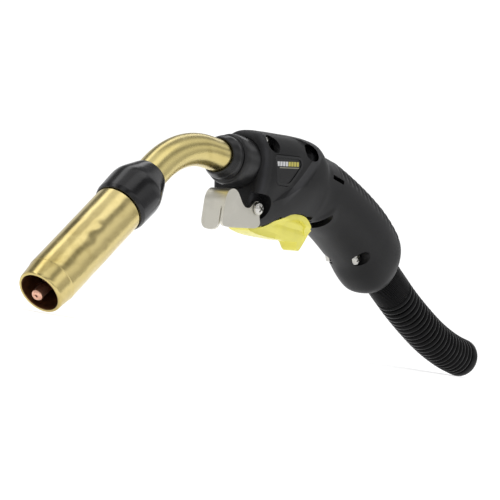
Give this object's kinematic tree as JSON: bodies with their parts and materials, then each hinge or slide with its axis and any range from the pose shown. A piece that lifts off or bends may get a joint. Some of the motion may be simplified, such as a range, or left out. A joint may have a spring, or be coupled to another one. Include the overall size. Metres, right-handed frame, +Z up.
{
  "type": "mig welding torch",
  "caption": "MIG welding torch with a bent neck, push-on gas nozzle, pistol handle with trigger and hanging hook, and a corrugated cable boot.",
  "frame": {"origin": "middle of the torch's length and width, on the ground it stands on", "axes": "+X from the cable boot towards the gas nozzle, +Y to the torch's left, +Z up; the nozzle rim and the end of the boot stand on Z = 0"},
  "size_m": [0.4602, 0.0404, 0.1271],
  "materials": {
    "brass": "polished, with soft dents and stains",
    "copper": "drawn copper, satin",
    "plated_steel": "zinc plated",
    "satin_nickel": "satin nickel plate",
    "handle_nylon": "fine moulded texture",
    "phenolic_black": "glossy moulding",
    "boot_rubber": "soft satin",
    "trigger_yellow": "satin moulding",
    "switch_body": "satin moulding",
    "switch_lead": "PVC insulation"
  },
  "bodies": {
    "torch_body": {"nozzle_insulator": "phenolic_black", "nozzle_adapter": "brass", "swan_neck_jacket": "brass", "neck_sleeve": "phenolic_black", "neck_conductor": "copper", "wire_liner": "plated_steel", "gas_diffuser": "brass", "neck_collar": "boot_rubber", "collar_nut": "boot_rubber", "handle_left": "handle_nylon", "handle_right": "handle_nylon", "badge_panel_left": "handle_nylon", "badge_panel_right": "handle_nylon", "handle_screw_front": "plated_steel", "handle_screw_middle": "plated_steel", "handle_screw_rear": "plated_steel", "handle_nut_front": "plated_steel", "handle_nut_middle": "plated_steel", "handle_nut_rear": "plated_steel", "hanging_hook": "satin_nickel", "hook_screw": "plated_steel", "hook_nut": "plated_steel", "trigger_pin": "plated_steel", "trigger_spring": "plated_steel", "switch_body": "switch_body", "switch_terminal_a": "brass", "switch_terminal_b": "brass", "switch_lead_a": "switch_lead", "switch_lead_b": "switch_lead", "switch_plug_a": "switch_body", "switch_plug_b": "switch_body", "power_block": "brass", "boot_cuff": "boot_rubber", "cable_boot": "boot_rubber", "boot_end_cuff": "boot_rubber"},
    "trigger": {"trigger": "trigger_yellow"},
    "switch_lever": {"switch_lever": "plated_steel"},
    "switch_button": {"switch_button": "plated_steel"},
    "gas_nozzle": {"gas_nozzle": "brass"},
    "contact_tip": {"contact_tip": "copper"}
  },
  "joints": [
    {"name": "trigger_hinge", "type": "hinge", "parent": "torch_body", "child": "trigger", "pos_m": [0.04502, 0, 0.07108], "axis": [0, 1, 0], "range_deg": [0, 5], "stiffness_Nm_per_rad": 1.5, "springref_deg": -2.86, "deforming": ["trigger_spring"]},
    {"name": "switch_lever_hinge", "type": "hinge", "parent": "torch_body", "child": "switch_lever", "pos_m": [0.02079, 0, 0.08692], "axis": [0, 1, 0], "range_deg": [0, 10.6]},
    {"name": "switch_button_slide", "type": "slide", "parent": "torch_body", "child": "switch_button", "axis": [-0.0446, 0, 0.999], "range_m": [0, 0.002]},
    {"name": "gas_nozzle_pull", "type": "slide", "parent": "torch_body", "child": "gas_nozzle", "axis": [0.7379, 0, -0.6749], "range_m": [0, 0.05]},
    {"name": "contact_tip_pull", "type": "slide", "parent": "torch_body", "child": "contact_tip", "axis": [0.7379, 0, -0.6749], "range_m": [0, 0.02]}
  ],
  "couplings": [
    {"joint": "switch_lever_hinge", "follows": "trigger_hinge", "ratio": 2.09},
    {"joint": "switch_button_slide", "follows": "trigger_hinge", "m_per_rad": 0.0225}
  ]
}
